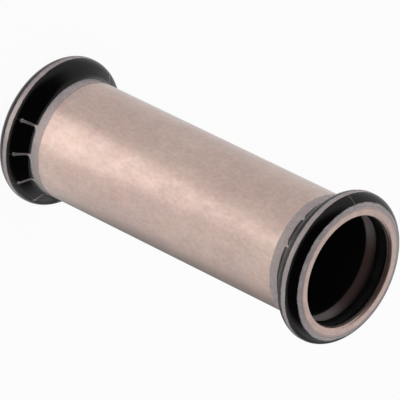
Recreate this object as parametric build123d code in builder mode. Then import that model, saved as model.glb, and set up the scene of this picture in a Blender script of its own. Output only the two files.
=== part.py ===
from build123d import *
from math import acos, degrees
import os

# A slip coupling for press-fitted metal pipe. One formed tube carries a hollow bead at each end. A
# rubber seal ring sits in each bead, and a thin printed film is shrunk over each bead's outside.
# The coupling stands on its lower lip, with its axis on Z. Sizes are in millimetres.

# Pipe and sleeve
pipe_diameter = 28.0    # outside of the pipe that goes through
pipe_gap = 0.2          # all round, between pipe and bore
wall = 1.5              # the tube's wall, the same in the bead and the lip
length = 103.3          # over both lips

# Bead, as seen from outside
crown_height = 3.85     # how far the bead stands out from the tube
bead_round = 3.65       # radius of the bead's section, from its flat front over the crown
flank_angle = 54.0      # slope of the bead's back, against the tube
root_round = 2.0        # hollow round where the back meets the tube

# Lip
mouth_gap = 0.4         # all round, between pipe and lip
lip_outer_round = 0.7   # edge of the lip on the front
lip_inner_round = 0.4   # edge of the lip towards the seal

# Seal ring
seal_gap = 0.3          # between the ring's section and the groove round it

# Indicator film
film_thickness = 0.1
film_gap = 0.02         # between film and metal
film_lift = 0.02        # how far the film's front edge stays behind the lip's flat
film_margin = 3.6       # film on the tube, from the foot of the bead's back
slit_places = 13        # evenly round the axis
whole_places = 3        # of those, side by side, where the film is left unslit
slit_width = 0.5        # half-way along the slit
slit_reach = 2.9        # from the slit's inner end to its outer end, measured radially
slit_inset = 0.25       # uncut film between the tube and the slit
lower_film_turn = -84.0     # from X to the middle of the first slit, in degrees
upper_film_turn = 86.5

# Sizes worked out from the ones above
bore_radius = pipe_diameter / 2 + pipe_gap
tube_radius = bore_radius + wall
mouth_radius = pipe_diameter / 2 + mouth_gap
bead_centre = tube_radius + crown_height - bead_round   # axis to the middle of the bead's section
film_outside = film_gap + film_thickness

# Each end is a plane on the lip's flat that looks into the coupling
lower_end = Plane.XY
upper_end = Plane(origin=(0, 0, length), x_dir=(1, 0, 0), z_dir=(0, 0, -1))


def section_plane(end, turn=0):
    """A plane through the axis on which an end's sections are drawn: radius across, height up."""
    turned = end.rotated((0, 0, turn))
    return Plane(origin=turned.origin, x_dir=turned.x_dir, z_dir=-turned.y_dir)


def bead_outside(grow=0, start_angle=0):
    """Draws the bead's outside, moved out by grow, from its front to its foot, and gives the foot."""
    crown = CenterArc(
        (bead_centre, bead_round), bead_round + grow, start_angle - 90, 90 + flank_angle - start_angle
    )
    drop = (crown @ 1).X - tube_radius - grow
    flank = PolarLine(crown @ 1, drop, direction=crown % 1, length_mode=LengthMode.HORIZONTAL)
    return flank @ 1


def round_root(outside, foot, grow=0):
    """Rounds the corner between the bead's back and the tube."""
    fillet(outside.vertices().sort_by_distance(foot)[0], root_round - grow)


# Sleeve: half of the wall's section, mirrored about the middle and turned about the axis
with BuildPart() as sleeve_body:
    with BuildSketch(section_plane(lower_end)):
        with BuildLine() as outside:
            Line((mouth_radius, 0), (bead_centre, 0))
            foot = bead_outside()
            Line(foot, (tube_radius, length / 2))
            round_root(outside, foot)
            offset(amount=wall, side=Side.LEFT)
        half_wall = make_face()
        for corner, size in ((0, lip_outer_round), (wall, lip_inner_round)):
            fillet(half_wall.vertices().sort_by_distance((mouth_radius, corner))[0], size)
        mirror(about=Plane.XZ.offset(-length / 2))
    revolve(axis=Axis.Z)
sleeve_body.part.label = "sleeve_body"


def make_seal_ring(end, name):
    """A round-section ring in the middle of the bead's groove."""
    with BuildPart() as ring:
        with BuildSketch(section_plane(end)):
            with Locations((bead_centre, bead_round)):
                Circle(bead_round - wall - seal_gap)
        revolve(axis=Axis.Z)
    ring.part.label = name
    return ring.part


def make_indicator_film(end, turn, name):
    """A thin band from the bead's front over the crown and down its slit back on to the tube."""
    axis = Axis(end.origin, end.z_dir)
    start_angle = degrees(acos((bead_round - film_lift) / (bead_round + film_outside)))
    slit_inner = tube_radius + film_outside + slit_inset
    slit_angle = degrees(slit_width / (slit_inner + slit_reach / 2))
    with BuildPart() as film:
        with BuildSketch(section_plane(end)):
            with BuildLine() as inside:
                foot = bead_outside(film_gap, start_angle)
                Line(foot, (foot.X, foot.Y + film_margin))
                round_root(inside, foot, film_gap)
                offset(amount=film_thickness, side=Side.RIGHT)
            make_face()
        revolve(axis=axis)
        first_turn = turn - slit_angle / 2
        slit_turns = [first_turn + 360 / slit_places * i for i in range(slit_places - whole_places)]
        with BuildSketch(*[section_plane(end, slit_turn) for slit_turn in slit_turns]):
            with Locations((slit_inner, bead_round)):
                Rectangle(slit_reach, foot.Y + film_margin - bead_round, align=Align.MIN)
        revolve(axis=axis, revolution_arc=slit_angle, mode=Mode.SUBTRACT)
    film.part.label = name
    return film.part


seal_ring_lower = make_seal_ring(lower_end, "seal_ring_lower")
seal_ring_upper = make_seal_ring(upper_end, "seal_ring_upper")
indicator_film_lower = make_indicator_film(lower_end, lower_film_turn, "indicator_film_lower")
indicator_film_upper = make_indicator_film(upper_end, upper_film_turn, "indicator_film_upper")

os.makedirs("parts", exist_ok=True)
export_step(sleeve_body.part, "parts/sleeve_body.step")
export_step(seal_ring_lower, "parts/seal_ring_lower.step")
export_step(seal_ring_upper, "parts/seal_ring_upper.step")
export_step(indicator_film_lower, "parts/indicator_film_lower.step")
export_step(indicator_film_upper, "parts/indicator_film_upper.step")
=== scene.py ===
from math import acos, cos, hypot, pi, radians, sin, sqrt, tan

import bmesh
import bpy
from mathutils import Matrix, Vector


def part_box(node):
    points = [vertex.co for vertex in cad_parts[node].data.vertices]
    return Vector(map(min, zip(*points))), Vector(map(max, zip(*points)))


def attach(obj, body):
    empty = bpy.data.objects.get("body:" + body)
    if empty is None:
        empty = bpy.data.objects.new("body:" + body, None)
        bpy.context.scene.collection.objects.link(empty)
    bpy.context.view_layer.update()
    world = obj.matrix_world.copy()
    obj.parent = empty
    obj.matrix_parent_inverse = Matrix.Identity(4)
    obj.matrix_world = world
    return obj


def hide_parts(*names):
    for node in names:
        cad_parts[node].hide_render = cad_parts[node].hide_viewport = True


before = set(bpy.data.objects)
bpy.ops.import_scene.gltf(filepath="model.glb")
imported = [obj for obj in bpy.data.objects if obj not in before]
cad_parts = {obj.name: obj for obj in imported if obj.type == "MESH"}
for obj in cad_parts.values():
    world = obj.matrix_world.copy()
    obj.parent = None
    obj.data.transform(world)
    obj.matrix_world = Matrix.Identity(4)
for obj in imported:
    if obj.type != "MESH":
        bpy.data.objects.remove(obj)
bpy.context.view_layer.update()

# A sliding sleeve coupling on its lower lip, with its axis on Z. Sizes are in metres.

mm = 0.001
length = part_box("sleeve_body")[1].z

# The sleeve's section
tube_radius = 15.7 * mm
wall = 1.5 * mm
mouth_radius = 14.4 * mm
bead_round = 3.65 * mm
bead_centre = 15.9 * mm         # axis to the middle of the bead's section
flank_angle = radians(54)
root_round = 2.0 * mm
lip_front_round = 0.7 * mm
lip_back_round = 0.4 * mm

# Seal ring
seal_round = 1.85 * mm

# Indicator film
film_thickness = 0.1 * mm
film_inside = 0.02 * mm         # from the metal
film_outside = film_inside + film_thickness
film_lift = 0.02 * mm
film_end = 11.917 * mm          # from the lip's plane
slit_places = 13
slit_count = 10                 # the other places, side by side, are left whole
slit_half_width = 0.12 * mm
bulb_radius = 0.3 * mm
bulb_place = 6.25 * mm          # middle of the slit's round end, from the lip's plane
slit_end = 8.62 * mm
lower_film_turn = radians(-84)  # from X to the first slit
upper_film_turn = radians(86.5)  # the same, before this film is turned end over end

# Print on the film, from the lip's plane
front_band = (0.454 * mm, 2.92 * mm)
back_band = (4.38 * mm, 9.2 * mm)
slit_print_gap = 0.25 * mm      # clear film on each side of the slit's middle
corner_width = 1.9 * mm         # the print's round corner on one side of each slit's inner end
corner_height = 1.5 * mm
lower_seam_turn = radians(100)   # where the film's ends are joined
upper_seam_turn = radians(-147)


# Sections, as lists of (radius, height)

def arc(centre, radius, first, last, steps):
    """Points on an arc, with its angles in degrees from the radius direction."""
    turns = [radians(first + (last - first) * i / steps) for i in range(steps + 1)]
    return [(centre[0] + radius * cos(turn), centre[1] + radius * sin(turn)) for turn in turns]


def straight(start, end, gaps):
    """Points between start and end: two close to the ends, and the rest evenly spaced."""
    run = hypot(end[0] - start[0], end[1] - start[1])
    near = min(0.08 * mm / run, 0.2)
    shares = [near] + [i / gaps for i in range(1, gaps) if near < i / gaps < 1 - near] + [1 - near]
    return [tuple(a + (b - a) * share for a, b in zip(start, end)) for share in shares]


def bead_path(grow, first, steps=40):
    """The bead's outside moved out by grow, from the crown arc's first angle to the tube."""
    reach = bead_round + grow
    crown = arc((bead_centre, bead_round), reach, first, 54, steps)
    top = crown[-1]
    slope = (-sin(flank_angle), cos(flank_angle))
    run = (top[0] - tube_radius - grow) / sin(flank_angle)
    foot = (tube_radius + grow, top[1] + run * slope[1])
    cut = (root_round - grow) * tan(flank_angle / 2)
    root_start = (foot[0] - slope[0] * cut, foot[1] - slope[1] * cut)
    root = arc((foot[0] + root_round - grow, foot[1] + cut), root_round - grow, 234, 180, 12)
    return crown + straight(top, root_start, 6) + root


def end_to_end(half):
    """A path from the lower lip to the root of the bead, carried on to the upper lip."""
    above = [(r, length - z) for r, z in reversed(half)]
    return half + straight(half[-1], above[0], 24) + above


def sleeve_section():
    """The wall's outside, from lip to lip, and its inside, back again."""
    outside = end_to_end(
        arc((mouth_radius + lip_front_round, lip_front_round), lip_front_round, 180, 270, 8)
        + straight((mouth_radius + lip_front_round, 0), (bead_centre, 0), 2)
        + bead_path(0, -90)
    )
    inside = end_to_end(
        arc((mouth_radius + lip_back_round, wall - lip_back_round), lip_back_round, 180, 90, 6)
        + bead_path(-wall, -90)
    )
    return thin_out(outside), thin_out(inside)[::-1]


def thin_out(points, least=1e-6):
    kept = [points[0]]
    for point in points[1:]:
        if hypot(point[0] - kept[-1][0], point[1] - kept[-1][1]) > least:
            kept.append(point)
    return kept


# Geometry Nodes

def put(tree, kind, feeds=None, **settings):
    """Adds a node, sets its options, and gives its sockets values or other nodes' outputs."""
    made = tree.nodes.new(kind)
    for option, value in settings.items():
        setattr(made, option, value)
    for socket, value in (feeds or {}).items():
        if isinstance(value, bpy.types.NodeSocket):
            tree.links.new(value, made.inputs[socket])
        else:
            made.inputs[socket].default_value = value
    return made


def calc(tree, operation, *values):
    kind = "ShaderNodeMath"
    return put(tree, kind, dict(enumerate(values)), operation=operation).outputs[0]


def new_geometry_tree(name, sizes):
    """A tree with a geometry input and output and the named inputs given in sizes."""
    tree = bpy.data.node_groups.new(name, "GeometryNodeTree")
    tree.interface.new_socket("Geometry", in_out="INPUT", socket_type="NodeSocketGeometry")
    for label, kind in sizes.items():
        tree.interface.new_socket(label, in_out="INPUT", socket_type="NodeSocket" + kind)
    tree.interface.new_socket("Geometry", in_out="OUTPUT", socket_type="NodeSocketGeometry")
    return tree


def lathe_tree():
    """Turns a section, a chain of points (radius, 0, height) with their value inside, about Z."""
    tree = new_geometry_tree(
        "turned section", {"Steps round": "Int", "Seam": "Float", "Finish": "Material"}
    )
    given = put(tree, "NodeGroupInput").outputs
    count = put(tree, "GeometryNodeAttributeDomainSize", {"Geometry": given["Geometry"]})
    rows = count.outputs["Point Count"]
    columns = calc(tree, "ADD", given["Steps round"], 1)
    grid = put(tree, "GeometryNodeMeshGrid", {
        "Size X": 1.0, "Size Y": 1.0, "Vertices X": rows, "Vertices Y": columns,
    })
    place = put(tree, "ShaderNodeSeparateXYZ", {0: put(tree, "GeometryNodeInputPosition").outputs[0]})
    along = calc(tree, "ADD", place.outputs["X"], 0.5)
    row = calc(tree, "ROUND", calc(tree, "MULTIPLY", along, calc(tree, "SUBTRACT", rows, 1)))
    point = put(tree, "GeometryNodeSampleIndex", {
        "Geometry": given["Geometry"], "Index": row,
        "Value": put(tree, "GeometryNodeInputPosition").outputs[0],
    }, data_type="FLOAT_VECTOR")
    section = put(tree, "ShaderNodeSeparateXYZ", {0: point.outputs[0]})
    turn = calc(tree, "MULTIPLY", calc(tree, "ADD", place.outputs["Y"], 0.5), 2 * pi)
    across, height = section.outputs["X"], section.outputs["Z"]
    turned = put(tree, "ShaderNodeCombineXYZ", {
        "X": calc(tree, "MULTIPLY", across, calc(tree, "COSINE", turn)),
        "Y": calc(tree, "MULTIPLY", across, calc(tree, "SINE", turn)),
        "Z": height,
    })
    flag = put(tree, "GeometryNodeInputNamedAttribute", {"Name": "inside"}, data_type="FLOAT")
    flag_there = put(tree, "GeometryNodeSampleIndex", {
        "Geometry": given["Geometry"], "Index": row, "Value": flag.outputs[0],
    }, data_type="FLOAT")
    flagged = put(tree, "GeometryNodeStoreNamedAttribute", {
        "Geometry": grid.outputs["Mesh"], "Name": "inside", "Value": flag_there.outputs[0],
    }, data_type="FLOAT", domain="POINT")
    shape = put(tree, "GeometryNodeSetPosition", {
        "Geometry": flagged.outputs[0], "Position": turned.outputs[0],
    })
    closed = put(tree, "GeometryNodeMergeByDistance", {
        "Geometry": shape.outputs[0], "Distance": given["Seam"],
    })
    smooth = put(tree, "GeometryNodeSetShadeSmooth", {"Geometry": closed.outputs[0]})
    finish_tree(tree, smooth.outputs[0], given["Finish"])
    return tree


def film_tree():
    """Repeats the film's sector round Z, opens the slits between sectors and joins the rest.

    Each slit comes before the sector of the same number. Its edges move apart by the sector's
    point attributes "open start" and "open end". The UV map gets the distance from the slit in
    U, and in V whether the nearer slit is cut.
    """
    tree = new_geometry_tree("film with slits", {
        "Sectors": "Int", "Slits": "Int", "First turn": "Float", "Reach": "Float", "Seam": "Float",
        "Finish": "Material",
    })
    given = put(tree, "NodeGroupInput").outputs
    line = put(tree, "GeometryNodeMeshLine", {"Count": given["Sectors"], "Offset": (0, 0, 0)})
    step = calc(tree, "DIVIDE", 2 * pi, given["Sectors"])
    number = put(tree, "GeometryNodeInputIndex").outputs[0]
    turn = calc(tree, "MULTIPLY_ADD", number, step, given["First turn"])
    copies = put(tree, "GeometryNodeInstanceOnPoints", {
        "Points": line.outputs["Mesh"], "Instance": given["Geometry"],
        "Rotation": put(tree, "ShaderNodeCombineXYZ", {"Z": turn}).outputs[0],
    })
    numbered = put(tree, "GeometryNodeStoreNamedAttribute", {
        "Geometry": copies.outputs[0], "Name": "sector", "Value": number,
    }, data_type="FLOAT", domain="INSTANCE")
    real = put(tree, "GeometryNodeRealizeInstances", {"Geometry": numbered.outputs[0]})

    sector = read_attribute(tree, "sector")
    following = calc(tree, "MODULO", calc(tree, "ADD", sector, 1), given["Sectors"])
    start_cut = calc(tree, "LESS_THAN", sector, given["Slits"])
    end_cut = calc(tree, "LESS_THAN", following, given["Slits"])
    shift = calc(tree, "SUBTRACT", calc(tree, "MULTIPLY", start_cut, read_attribute(tree, "open start")),
                 calc(tree, "MULTIPLY", end_cut, read_attribute(tree, "open end")))
    moved = put(tree, "ShaderNodeVectorRotate", {
        "Vector": put(tree, "GeometryNodeInputPosition").outputs[0], "Angle": shift,
    }, rotation_type="Z_AXIS")
    from_start = calc(tree, "ADD", read_attribute(tree, "turn in sector"), shift)
    past_middle = calc(tree, "GREATER_THAN", from_start, calc(tree, "MULTIPLY", step, 0.5))
    layout = put(tree, "ShaderNodeCombineXYZ", {
        "X": calc(tree, "MULTIPLY", from_start, given["Reach"]),
        "Y": put(tree, "ShaderNodeMix", {0: past_middle, 2: start_cut, 3: end_cut}).outputs[0],
    })
    laid_out = put(tree, "GeometryNodeStoreNamedAttribute", {
        "Geometry": real.outputs[0], "Name": "film_layout", "Value": layout.outputs[0],
    }, data_type="FLOAT2", domain="CORNER")
    opened = put(tree, "GeometryNodeSetPosition", {
        "Geometry": laid_out.outputs[0], "Position": moved.outputs[0],
    })
    joined = put(tree, "GeometryNodeMergeByDistance", {
        "Geometry": opened.outputs[0], "Distance": given["Seam"],
    })
    smooth = put(tree, "GeometryNodeSetShadeSmooth", {"Geometry": joined.outputs[0]})
    finish_tree(tree, smooth.outputs[0], given["Finish"])
    return tree


def read_attribute(tree, name):
    kind = "GeometryNodeInputNamedAttribute"
    return put(tree, kind, {"Name": name}, data_type="FLOAT").outputs[0]


def finish_tree(tree, geometry, finish):
    real = put(tree, "GeometryNodeRealizeInstances", {"Geometry": geometry})
    covered = put(tree, "GeometryNodeSetMaterial", {"Geometry": real.outputs[0], "Material": finish})
    out = put(tree, "NodeGroupOutput")
    tree.links.new(covered.outputs[0], out.inputs[0])


def grow_with(tree, start, name, sizes):
    """Runs a tree on a start mesh and returns the result as an object with a plain mesh."""
    seed = bpy.data.objects.new(name + "_start", start)
    bpy.context.scene.collection.objects.link(seed)
    modifier = seed.modifiers.new(tree.name, "NODES")
    modifier.node_group = tree
    for item in tree.interface.items_tree:
        if item.in_out == "INPUT" and item.name in sizes:
            modifier[item.identifier] = sizes[item.name]
    seed.update_tag()
    bpy.context.view_layer.update()
    made = bpy.data.meshes.new_from_object(seed.evaluated_get(bpy.context.evaluated_depsgraph_get()))
    seed.modifiers.clear()
    bpy.data.objects.remove(seed)
    made.name = name
    piece = bpy.data.objects.new(name, made)
    bpy.context.scene.collection.objects.link(piece)
    return piece


def chain(points, inside_from):
    """The section as a closed chain of edges. Points from inside_from on are marked as inside."""
    mesh = bpy.data.meshes.new("section")
    spots = [(r, 0, z) for r, z in points + points[:1]]
    mesh.from_pydata(spots, [(i, i + 1) for i in range(len(spots) - 1)], [])
    flag = mesh.attributes.new("inside", "FLOAT", "POINT")
    flag.data.foreach_set("value", [float(inside_from <= i < len(points)) for i in range(len(spots))])
    return mesh


def turn_section(lathe, outside, inside, name, finish, steps):
    """A closed section turned about Z, with its faces pointing outwards."""
    piece = grow_with(lathe, chain(outside + inside, len(outside)), name, {
        "Steps round": steps, "Seam": 1e-6, "Finish": finish,
    })
    point_outwards(piece.data)
    return piece


def point_outwards(mesh):
    shape = bmesh.new()
    shape.from_mesh(mesh)
    bmesh.ops.recalc_face_normals(shape, faces=shape.faces)
    shape.to_mesh(mesh)
    shape.free()


# Indicator film

def film_path():
    """The film's outside from its front edge to its rear edge; film_sector adds the rows close round the
    slit.
    """
    first = -90 + 180 / pi * acos((bead_round - film_lift) / (bead_round + film_outside))
    path = bead_path(film_outside, first, 64)
    path += straight(path[-1], (path[-1][0], film_end), 8) + [(path[-1][0], film_end)]
    return thin_out(path)


def along_path(path):
    """The distance of each point from the path's first point."""
    sums = [0.0]
    for a, b in zip(path, path[1:]):
        sums.append(sums[-1] + hypot(b[0] - a[0], b[1] - a[1]))
    return sums


def refine(path, start, end, step):
    """Adds points to the path between two heights on its back, at most step apart."""
    kept = [path[0]]
    for a, b in zip(path, path[1:]):
        run = hypot(b[0] - a[0], b[1] - a[1])
        if a[1] >= start and b[1] <= end and run > step:
            parts = int(run / step) + 1
            kept += [
                (a[0] + (b[0] - a[0]) * i / parts, a[1] + (b[1] - a[1]) * i / parts)
                for i in range(1, parts)
            ]
        kept.append(b)
    return kept


def slit_edge(distance, bulb, end):
    """Half the slit's width at a distance along the film: a round end, a slot, a round end."""
    widest = 0.0
    if abs(distance - bulb) < bulb_radius:
        widest = sqrt(bulb_radius ** 2 - (distance - bulb) ** 2)
    if bulb <= distance <= end - slit_half_width:
        widest = max(widest, slit_half_width)
    elif end - slit_half_width < distance < end:
        from_end = distance - end + slit_half_width
        widest = max(widest, sqrt(slit_half_width ** 2 - from_end ** 2))
    return widest


def film_sector():
    """The lower film's sheet from one slit's middle to the next, with its slits still shut.

    How far a cut slit turns each point about the axis is kept in point attributes.
    """
    columns = 22
    path = refine(film_path(), bulb_place - 0.5 * mm, slit_end + 0.1 * mm, 0.09 * mm)
    sums = along_path(path)
    bulb = next(s for s, p in zip(sums, path) if p[1] > bulb_place)
    end = next(s for s, p in zip(sums, path) if p[1] > slit_end)
    sector = 2 * pi / slit_places
    spots, turns, starts, ends = [], [], [], []
    for (radius, height), distance in zip(path, sums):
        edge = slit_edge(distance, bulb, end) / radius
        for column in range(columns + 1):
            share = column / columns
            share = share - 0.35 * sin(2 * pi * share) / (2 * pi)
            turn = sector * share
            spots.append((radius * cos(turn), radius * sin(turn), height))
            turns.append(turn)
            starts.append(edge * (1 - share))
            ends.append(edge * share)
    wide = columns + 1
    corners = [row * wide + column for row in range(len(path) - 1) for column in range(columns)]
    faces = [(a, a + 1, a + 1 + wide, a + wide) for a in corners]
    mesh = bpy.data.meshes.new("film_sector")
    mesh.from_pydata(spots, [], faces)
    for name, values in (("turn in sector", turns), ("open start", starts), ("open end", ends)):
        mesh.attributes.new(name, "FLOAT", "POINT").data.foreach_set("value", values)
    return mesh


def make_film(tree, upper, turn, name, finish):
    piece = grow_with(tree, film_sector(), name, {
        "Sectors": slit_places, "Slits": slit_count, "First turn": turn, "Reach": bead_centre,
        "Seam": 2e-6, "Finish": finish,
    })
    if upper:
        piece.data.transform(Matrix.Translation((0, 0, length)) @ Matrix.Rotation(pi, 4, "X"))
    thicken = piece.modifiers.new("film thickness", "SOLIDIFY")
    thicken.thickness = film_thickness
    thicken.offset = -1
    thicken.use_even_offset = True
    return piece


# Shared shader groups

def new_shader_group(name, given, gives):
    tree = bpy.data.node_groups.new(name, "ShaderNodeTree")
    for label, (kind, value) in given.items():
        socket = tree.interface.new_socket(label, in_out="INPUT", socket_type="NodeSocket" + kind)
        if value is not None:
            socket.default_value = value
    for label, kind in gives.items():
        tree.interface.new_socket(label, in_out="OUTPUT", socket_type="NodeSocket" + kind)
    return tree, put(tree, "NodeGroupInput").outputs, put(tree, "NodeGroupOutput")


def place_from_lip_group():
    """Height above the nearer lip's plane and distance from the axis, both in millimetres."""
    tree, given, out = new_shader_group(
        "place from the lip", {"Length": ("Float", length)},
        {"Height": "Float", "Radius": "Float", "Turn": "Float", "Upper": "Float"},
    )
    spot = put(tree, "ShaderNodeSeparateXYZ", {
        0: put(tree, "ShaderNodeTexCoord").outputs["Object"],
    })
    x, y, z = spot.outputs
    near = calc(tree, "MINIMUM", z, calc(tree, "SUBTRACT", given["Length"], z))
    squares = calc(tree, "ADD", calc(tree, "MULTIPLY", x, x), calc(tree, "MULTIPLY", y, y))
    tree.links.new(calc(tree, "MULTIPLY", near, 1000), out.inputs["Height"])
    tree.links.new(calc(tree, "MULTIPLY", calc(tree, "SQRT", squares), 1000), out.inputs["Radius"])
    tree.links.new(calc(tree, "ARCTAN2", y, x), out.inputs["Turn"])
    tree.links.new(calc(tree, "GREATER_THAN", z, near), out.inputs["Upper"])
    return tree


def clouding_group():
    """Soft patches, as on metal that was annealed or film that isn't quite clear: 0 to 1."""
    tree, given, out = new_shader_group(
        "clouding", {"Size": ("Float", 0.01), "Stretch": ("Float", 1.0), "Detail": ("Float", 3.0)},
        {"Mask": "Float"},
    )
    squeeze = put(tree, "ShaderNodeCombineXYZ", {"X": 1.0, "Y": 1.0, "Z": given["Stretch"]})
    place = put(tree, "ShaderNodeVectorMath", {
        0: put(tree, "ShaderNodeTexCoord").outputs["Object"], 1: squeeze.outputs[0],
    }, operation="MULTIPLY")
    noise = put(tree, "ShaderNodeTexNoise", {
        "Vector": place.outputs[0], "Scale": calc(tree, "DIVIDE", 1, given["Size"]),
        "Detail": given["Detail"], "Roughness": 0.55,
    })
    spread = put(tree, "ShaderNodeMapRange", {
        "Value": noise.outputs["Fac"], "From Min": 0.3, "From Max": 0.7,
    })
    tree.links.new(spread.outputs[0], out.inputs["Mask"])
    return tree


def handling_group():
    """Fine scratches and rubbed spots: a roughness round the given one, and a height for bump."""
    tree, given, out = new_shader_group(
        "handling marks",
        {"Roughness": ("Float", 0.4), "Change": ("Float", 0.1), "Size": ("Float", 0.004)},
        {"Roughness": "Float", "Height": "Float"},
    )
    place = put(tree, "ShaderNodeTexCoord").outputs["Object"]
    rubbed = put(tree, "ShaderNodeTexNoise", {
        "Vector": place, "Scale": calc(tree, "DIVIDE", 1, given["Size"]), "Detail": 4.0,
    })
    scratch_place = put(tree, "ShaderNodeMapping", {
        "Vector": place, "Rotation": (0.3, 0.5, 0.9), "Scale": (900, 60, 200),
    })
    scratches = put(tree, "ShaderNodeTexNoise", {
        "Vector": scratch_place.outputs[0], "Scale": 1.0, "Detail": 2.0,
    })
    both = calc(tree, "MULTIPLY_ADD", scratches.outputs["Fac"], 0.35,
                calc(tree, "MULTIPLY", rubbed.outputs["Fac"], 0.65))
    around = calc(tree, "MULTIPLY", calc(tree, "SUBTRACT", both, 0.5), given["Change"])
    rough = calc(tree, "MULTIPLY_ADD", around, 2.0, given["Roughness"])
    tree.links.new(rough, out.inputs["Roughness"])
    tree.links.new(both, out.inputs["Height"])
    return tree


# Materials

def new_material(name):
    material = bpy.data.materials.new(name)
    material.use_nodes = True
    tree = material.node_tree
    return material, tree, tree.nodes["Principled BSDF"]


def use_group(tree, group, feeds=None):
    made = put(tree, "ShaderNodeGroup", node_tree=group)
    for socket, value in (feeds or {}).items():
        if isinstance(value, bpy.types.NodeSocket):
            tree.links.new(value, made.inputs[socket])
        else:
            made.inputs[socket].default_value = value
    return made.outputs


def blend_colours(tree, share, first, second, how="MIX"):
    mixed = put(tree, "ShaderNodeMix", data_type="RGBA", blend_type=how)
    for socket, value in ((0, share), (6, first), (7, second)):
        if isinstance(value, bpy.types.NodeSocket):
            tree.links.new(value, mixed.inputs[socket])
        else:
            mixed.inputs[socket].default_value = value
    return mixed.outputs[2]


def ramp(tree, value, low, high):
    """0 at low to 1 at high, smoothly."""
    return put(tree, "ShaderNodeMapRange", {
        "Value": value, "From Min": low, "From Max": high,
    }, interpolation_type="SMOOTHSTEP").outputs[0]


def length_of(tree, x, y):
    return calc(tree, "SQRT", calc(tree, "ADD", calc(tree, "MULTIPLY", x, x),
                                   calc(tree, "MULTIPLY", y, y)))


def between(tree, value, low, high, soft):
    """1 between low and high, and 0 outside, over a soft edge."""
    up = ramp(tree, value, low - soft / 2, low + soft / 2)
    down = ramp(tree, value, high - soft / 2, high + soft / 2)
    return calc(tree, "SUBTRACT", up, down)


def sleeve_metal(groups):
    """Satin copper-nickel: pinkish tan and softly clouded, duller inside, where the colour is painted
    shade.
    """
    material, tree, shader = new_material("sleeve_metal")
    place = use_group(tree, groups["place"])
    wide = use_group(tree, groups["clouding"], {"Size": 0.016, "Stretch": 0.6, "Detail": 3.0})
    small = use_group(tree, groups["clouding"], {"Size": 0.004, "Stretch": 0.8, "Detail": 4.0})
    grain = use_group(tree, groups["clouding"], {"Size": 0.0008, "Stretch": 0.6, "Detail": 3.0})
    tint = blend_colours(tree, wide["Mask"], (0.585, 0.405, 0.365, 1), (0.69, 0.515, 0.435, 1))
    tint = blend_colours(tree, calc(tree, "MULTIPLY", small["Mask"], 0.7), tint,
                         (0.56, 0.435, 0.39, 1))
    fine = put(tree, "ShaderNodeMapRange", {
        "Value": grain["Mask"], "To Min": 0.91, "To Max": 1.08,
    })
    shaded = put(tree, "ShaderNodeVectorMath", {0: tint, 1: fine.outputs[0]}, operation="MULTIPLY")
    inside = put(tree, "ShaderNodeAttribute", attribute_name="inside").outputs["Fac"]
    # Painted shade inside: the groove metal is darker, darker and redder still at the back of each
    # groove (towards +Y), and near black in the bore from about 8 mm past the lip
    groove_back_painted_shade = ramp(tree, calc(tree, "SINE", place["Turn"]), 0.6, 0.95)
    groove_painted_shade = blend_colours(tree, groove_back_painted_shade, (0.34, 0.29, 0.29, 1), (0.13, 0.075, 0.07, 1))
    inside_painted_shade = blend_colours(tree, ramp(tree, place["Height"], 7.9, 8.3), groove_painted_shade,
                         (0.006, 0.0048, 0.0045, 1))
    colour = blend_colours(tree, inside, shaded.outputs[0], inside_painted_shade)

    # The film's front edge lies so flat on the lip that it is only a tint here
    under_film = calc(tree, "MULTIPLY", ramp(tree, place["Radius"], 16.15, 16.3),
                      calc(tree, "LESS_THAN", place["Height"], 0.3))
    colour = blend_colours(tree, calc(tree, "MULTIPLY", under_film, 0.6), colour,
                           (0.36, 0.30, 0.31, 1))
    marks = use_group(tree, groups["handling"], {"Roughness": 0.42, "Change": 0.22, "Size": 0.004})
    rough = calc(tree, "MULTIPLY_ADD", inside, 0.2, marks["Roughness"])
    bump = put(tree, "ShaderNodeBump", {
        "Strength": 0.25, "Distance": 0.00001, "Height": marks["Height"],
    })
    tree.links.new(colour, shader.inputs["Base Color"])
    tree.links.new(rough, shader.inputs["Roughness"])
    tree.links.new(bump.outputs[0], shader.inputs["Normal"])
    tree.links.new(calc(tree, "MULTIPLY", calc(tree, "SUBTRACT", 1.0, inside), 0.8),
                   shader.inputs["Coat Weight"])
    tree.links.new(calc(tree, "MULTIPLY_ADD", inside, -0.7, 1.0), shader.inputs["Metallic"])
    shader.inputs["Coat Roughness"].default_value = 0.2
    return material


def seal_rubber(groups):
    """Black rubber with the slight bloom that talc leaves."""
    material, tree, shader = new_material("seal_rubber")
    bloom = use_group(tree, groups["clouding"], {"Size": 0.003, "Stretch": 1.0, "Detail": 4.0})
    colour = blend_colours(tree, bloom["Mask"], (0.006, 0.006, 0.0065, 1), (0.012, 0.012, 0.012, 1))
    marks = use_group(tree, groups["handling"], {"Roughness": 0.5, "Change": 0.12, "Size": 0.002})
    bump = put(tree, "ShaderNodeBump", {
        "Strength": 0.3, "Distance": 0.00001, "Height": marks["Height"],
    })
    tree.links.new(colour, shader.inputs["Base Color"])
    tree.links.new(marks["Roughness"], shader.inputs["Roughness"])
    tree.links.new(bump.outputs[0], shader.inputs["Normal"])
    shader.inputs["Specular IOR Level"].default_value = 0.08
    return material


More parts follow.
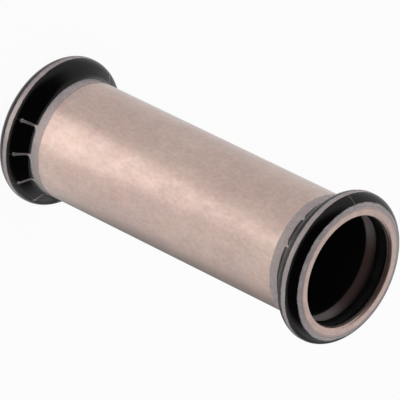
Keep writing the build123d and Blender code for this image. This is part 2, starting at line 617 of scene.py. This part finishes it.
def printed_film(groups):
    """Shrunk clear film with two glossy black bands. The print stops short of the slits' ends."""
    material, tree, shader = new_material("printed_film")
    place = use_group(tree, groups["place"])
    sheet = put(tree, "ShaderNodeUVMap", uv_map="film_layout")
    layout = put(tree, "ShaderNodeSeparateXYZ", {0: sheet.outputs[0]})
    waver = use_group(tree, groups["clouding"], {"Size": 0.0035, "Stretch": 1.0, "Detail": 2.0})
    height = calc(tree, "MULTIPLY_ADD", calc(tree, "SUBTRACT", waver["Mask"], 0.5), 0.12,
                  place["Height"])
    front = between(tree, height, front_band[0] / mm, front_band[1] / mm, 0.06)
    back = between(tree, height, back_band[0] / mm, back_band[1] / mm, 0.08)

    # The print's round corner on one side of each slit's inner end
    from_slit = calc(tree, "MULTIPLY", layout.outputs["X"], 1000)
    from_edge = calc(tree, "SUBTRACT", back_band[1] / mm, height)
    x = calc(tree, "MAXIMUM", calc(tree, "SUBTRACT", 1.0, calc(
        tree, "DIVIDE", from_slit, corner_width / mm)), 0.0)
    y = calc(tree, "MAXIMUM", calc(tree, "SUBTRACT", 1.0, calc(
        tree, "DIVIDE", from_edge, corner_height / mm)), 0.0)
    inside_corner = calc(tree, "SUBTRACT", 1.0, ramp(tree, length_of(tree, x, y), 0.97, 1.03))
    pitch = 2 * pi * bead_centre / slit_places / mm
    to_middle = calc(tree, "MINIMUM", from_slit, calc(tree, "SUBTRACT", pitch, from_slit))
    beside_slit = ramp(tree, to_middle, slit_print_gap / mm - 0.04, slit_print_gap / mm + 0.04)
    past_slit = calc(tree, "GREATER_THAN", height, bulb_place / mm - 0.3)
    open_end = calc(tree, "SUBTRACT", 1.0,
                    calc(tree, "MULTIPLY", past_slit, calc(tree, "SUBTRACT", 1.0, beside_slit)))
    from_bulb = calc(tree, "DIVIDE", calc(tree, "SUBTRACT", height, bulb_place / mm), 0.75)
    outside_bulb = ramp(tree, length_of(tree, to_middle, from_bulb), 0.36, 0.46)
    open_end = calc(tree, "MULTIPLY", open_end, outside_bulb)
    whole = calc(tree, "SUBTRACT", 1.0, layout.outputs["Y"])
    beside_slits = calc(tree, "MAXIMUM", whole, calc(tree, "MULTIPLY", inside_corner, open_end))
    back = calc(tree, "MULTIPLY", back, beside_slits)
    seam_turn = calc(tree, "MULTIPLY_ADD", place["Upper"], upper_seam_turn - lower_seam_turn,
                     lower_seam_turn)
    from_seam = calc(tree, "MULTIPLY", calc(tree, "ABSOLUTE", calc(
        tree, "SUBTRACT", place["Turn"], seam_turn)), place["Radius"])
    ink = calc(tree, "MULTIPLY", calc(tree, "MAXIMUM", front, back),
               calc(tree, "MULTIPLY_ADD", ramp(tree, from_seam, 0.05, 0.18), 0.3, 0.7))

    haze = use_group(tree, groups["clouding"], {"Size": 0.002, "Stretch": 1.0, "Detail": 3.0})
    clear = blend_colours(tree, haze["Mask"], (0.60, 0.56, 0.585, 1), (0.74, 0.70, 0.72, 1))
    black = (0.0008, 0.0005, 0.0008, 1)
    colour = blend_colours(tree, ink, clear, black)
    uneven = calc(tree, "MULTIPLY_ADD", waver["Mask"], 0.2, -0.1)
    edge = ramp(tree, calc(tree, "SUBTRACT", film_end / mm, place["Height"]), uneven,
                calc(tree, "ADD", uneven, 0.25))
    seen = calc(tree, "MULTIPLY", calc(tree, "MULTIPLY_ADD", haze["Mask"], 0.12, 0.28), edge)
    alpha = calc(tree, "MAXIMUM", ink, seen)
    marks = use_group(tree, groups["handling"], {"Roughness": 0.2, "Change": 0.1, "Size": 0.003})
    bump = put(tree, "ShaderNodeBump", {
        "Strength": 0.2, "Distance": 0.00002, "Height": marks["Height"],
    })
    tree.links.new(colour, shader.inputs["Base Color"])
    tree.links.new(marks["Roughness"], shader.inputs["Roughness"])
    tree.links.new(alpha, shader.inputs["Alpha"])
    tree.links.new(bump.outputs[0], shader.inputs["Normal"])
    shader.inputs["Specular IOR Level"].default_value = 0.25
    return material


# Surroundings

def background_white(tree, plain, white):
    """plain for the light that falls on the object, white where it is looked at or mirrored."""
    path = put(tree, "ShaderNodeLightPath").outputs
    looked_at = calc(tree, "MINIMUM", 1.0, calc(tree, "ADD", path["Is Camera Ray"], calc(
        tree, "ADD", path["Is Glossy Ray"], path["Is Transmission Ray"])))
    return put(tree, "ShaderNodeMixShader", {0: looked_at, 1: plain, 2: white}).outputs[0]


def make_world():
    """White where it is looked at. What shines mirrors it with a dim part, high in front."""
    world = bpy.data.worlds.new("studio")
    world.use_nodes = True
    tree = world.node_tree
    tree.nodes.clear()
    front = put(tree, "ShaderNodeVectorMath", {
        0: put(tree, "ShaderNodeTexCoord").outputs["Generated"], 1: (0.3, -0.55, 0.78),
    }, operation="DOT_PRODUCT").outputs["Value"]
    dim = ramp(tree, front, 0.05, 0.5)
    shine = put(tree, "ShaderNodeMix", {0: dim, 2: 0.85, 3: 0.04}).outputs[0]
    camera_ray = put(tree, "ShaderNodeLightPath").outputs["Is Camera Ray"]
    shine = put(tree, "ShaderNodeMix", {0: camera_ray, 2: shine, 3: 1.0}).outputs[0]
    plain = put(tree, "ShaderNodeBackground", {"Color": (1, 1, 1, 1), "Strength": 0.6}).outputs[0]
    white = put(tree, "ShaderNodeBackground", {"Color": (1, 1, 1, 1), "Strength": shine}).outputs[0]
    out = put(tree, "ShaderNodeOutputWorld")
    tree.links.new(background_white(tree, plain, white), out.inputs[0])
    bpy.context.scene.world = world


def make_floor():
    size = 3.0
    mesh = bpy.data.meshes.new("floor")
    corners = [(-size, -size, -0.00005), (size, -size, -0.00005), (size, size, -0.00005),
               (-size, size, -0.00005)]
    mesh.from_pydata(corners, [], [(0, 1, 2, 3)])
    floor = bpy.data.objects.new("floor", mesh)
    bpy.context.scene.collection.objects.link(floor)
    material = bpy.data.materials.new("floor_white")
    material.use_nodes = True
    tree = material.node_tree
    tree.nodes.clear()
    card = put(tree, "ShaderNodeBsdfDiffuse", {"Color": (0.85, 0.85, 0.85, 1)}).outputs[0]

    # Painted reflection: for glossy rays alone, the floor's strength is set by its direction from the
    # object, brightest in front and dim on the right, so the metal mirrors it as if under one softbox
    spot = put(tree, "ShaderNodeSeparateXYZ", {0: put(tree, "ShaderNodeTexCoord").outputs["Object"]})
    x, y, z = spot.outputs
    turn = calc(tree, "ARCTAN2", x, calc(tree, "MULTIPLY", y, -1))
    share = calc(tree, "MULTIPLY_ADD", turn, 0.5 / pi, 0.5)
    sheen = put(tree, "ShaderNodeFloatCurve", {"Value": share})
    curve = sheen.mapping.curves[0]
    marks = ((-180, 0.8), (-120, 0.8), (-55, 0.82), (0, 0.95), (55, 1.0), (90, 0.85), (135, 0.25),
             (180, 0.1))
    curve.points[0].location = ((marks[0][0] + 180) / 360, marks[0][1])
    curve.points[1].location = ((marks[-1][0] + 180) / 360, marks[-1][1])
    for degrees, value in marks[1:-1]:
        curve.points.new((degrees + 180) / 360, value)
    sheen.mapping.update()
    path = put(tree, "ShaderNodeLightPath").outputs
    strength = put(tree, "ShaderNodeMix", {
        0: path["Is Glossy Ray"], 2: 1.0, 3: sheen.outputs[0],
    })
    lit = put(tree, "ShaderNodeEmission", {
        "Color": (1, 1, 1, 1), "Strength": strength.outputs[0],
    }).outputs[0]
    white = put(tree, "ShaderNodeMixShader", {0: 0.94, 1: card, 2: lit}).outputs[0]
    out = put(tree, "ShaderNodeOutputMaterial")
    tree.links.new(background_white(tree, card, white), out.inputs["Surface"])
    mesh.materials.append(material)


def add_panel(name, azimuth, reach, width, power):
    """A light panel that lies on the floor in front and shines up, from reach[0] to reach[1]."""
    lamp = bpy.data.lights.new(name, "AREA")
    lamp.shape = "ELLIPSE"
    lamp.size, lamp.size_y = width, reach[1] - reach[0]
    lamp.energy = power
    panel = bpy.data.objects.new(name, lamp)
    out = (reach[0] + reach[1]) / 2
    panel.matrix_world = (Matrix.Rotation(azimuth, 4, "Z") @ Matrix.Translation((0, -out, 0.001))
                          @ Matrix.Rotation(pi, 4, "X"))
    lamp.color = (1, 0.98, 0.93)
    panel.visible_camera = False
    bpy.context.scene.collection.objects.link(panel)


def add_softbox(name, place, aim, size, power):
    """A square lamp at place, given as azimuth, elevation and distance, that faces aim."""
    lamp = bpy.data.lights.new(name, "AREA")
    lamp.size = size
    lamp.energy = power
    box = bpy.data.objects.new(name, lamp)
    azimuth, elevation, distance = radians(place[0]), radians(place[1]), place[2]
    away = Vector((sin(azimuth) * cos(elevation), -cos(azimuth) * cos(elevation), sin(elevation)))
    spot = away * distance + Vector(aim)
    box.matrix_world = Matrix.Translation(spot) @ away.to_track_quat("Z", "Y").to_matrix().to_4x4()
    box.visible_camera = False
    bpy.context.scene.collection.objects.link(box)


def make_camera():
    """The photograph's view: a long lens, 37 degrees above the horizon and rolled on its side."""
    focal_pixels, frame_pixels, sensor = 5800, 400, 36.0
    view_angle, roll = radians(52.61), radians(90 + 26.12)
    lip_centre = Vector((0, 0, length - 0.4 * mm))
    away = 88.87 * tube_radius
    across = (348.64 - frame_pixels / 2) / focal_pixels * away
    down = (271.85 - frame_pixels / 2) / focal_pixels * away
    turn = Matrix.Rotation(view_angle, 4, "X") @ Matrix.Rotation(roll, 4, "Z")
    spot = lip_centre - turn @ Vector((across, -down, -away))
    data = bpy.data.cameras.new("photo_view")
    data.sensor_width = sensor
    data.lens = sensor * focal_pixels / frame_pixels
    data.clip_start, data.clip_end = 0.05, 20
    camera = bpy.data.objects.new("photo_view", data)
    camera.matrix_world = Matrix.Translation(spot) @ turn
    bpy.context.scene.collection.objects.link(camera)
    bpy.context.scene.camera = camera


def main():
    groups = {
        "place": place_from_lip_group(),
        "clouding": clouding_group(),
        "handling": handling_group(),
    }
    metal, rubber, film = sleeve_metal(groups), seal_rubber(groups), printed_film(groups)

    lathe, slit_film = lathe_tree(), film_tree()
    outside, inside = sleeve_section()
    sleeve = turn_section(lathe, outside, inside, "formed_sleeve", metal, 256)
    pieces = [(sleeve, "sleeve_body", "sleeve_metal")]

    for end, turn in (("lower", lower_film_turn), ("upper", upper_film_turn)):
        upper = end == "upper"
        middle = length - bead_round if upper else bead_round
        ring = turn_section(lathe, arc((bead_centre, middle), seal_round, 0, 352.5, 47), [],
                            "rubber_ring_" + end, rubber, 192)
        pieces.append((ring, "seal_ring_" + end, "seal_rubber"))
        band = make_film(slit_film, upper, turn, "printed_band_" + end, film)
        pieces.append((band, "indicator_film_" + end, "printed_film"))

    for piece, node, slot in pieces:
        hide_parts(node)
        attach(piece, "root")


main()
make_floor()
make_world()
add_panel("front_panel", radians(6), (0.02, 0.16), 0.06, 0.014)
add_softbox("back_softbox", (180, 57, 1.2), (0, 0, 0.05), 0.35, 0.3)
make_camera()
bpy.context.scene.view_settings.view_transform = "Standard"
